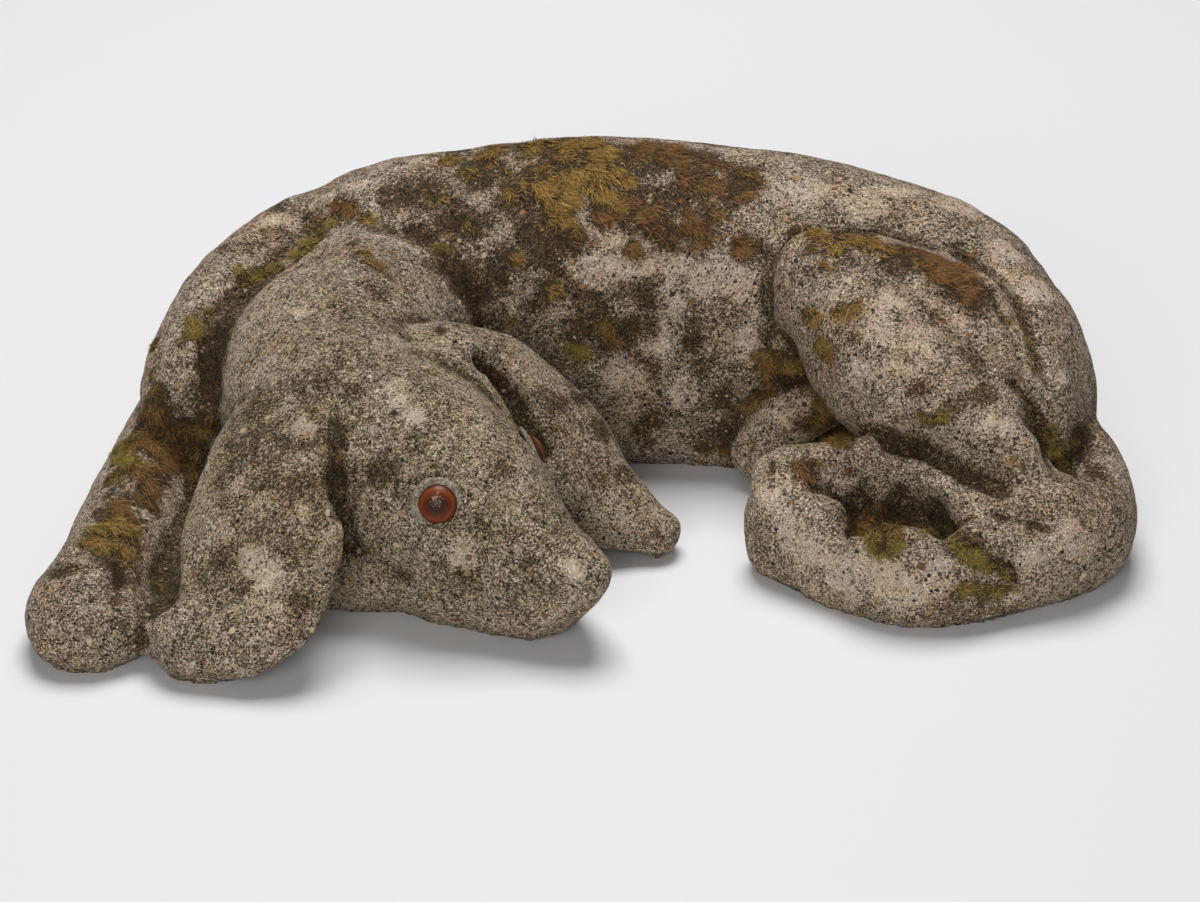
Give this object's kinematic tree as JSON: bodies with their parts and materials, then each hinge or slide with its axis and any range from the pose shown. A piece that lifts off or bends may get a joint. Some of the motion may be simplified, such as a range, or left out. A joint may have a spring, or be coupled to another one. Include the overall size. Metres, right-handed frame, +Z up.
{
  "type": "garden statue",
  "caption": "Cast stone spaniel lying curled up, head low over its forepaws, tail round its hind feet, glass eyes, flat base.",
  "frame": {"origin": "on the ground, under the middle of the statue's bounding box", "axes": "+X from the head end to the rump, along the statue's length; +Y towards the spine; +Z up"},
  "size_m": [0.465, 0.3266, 0.1321],
  "materials": {
    "concrete": "weathered, rough, with fine aggregate, lichen and moss",
    "eye_glass": "brown glass with a dark pupil, dusty"
  },
  "bodies": {
    "root": {"stone_dog": "concrete", "right_glass_eye": "eye_glass", "left_glass_eye": "eye_glass"}
  },
  "joints": []
}
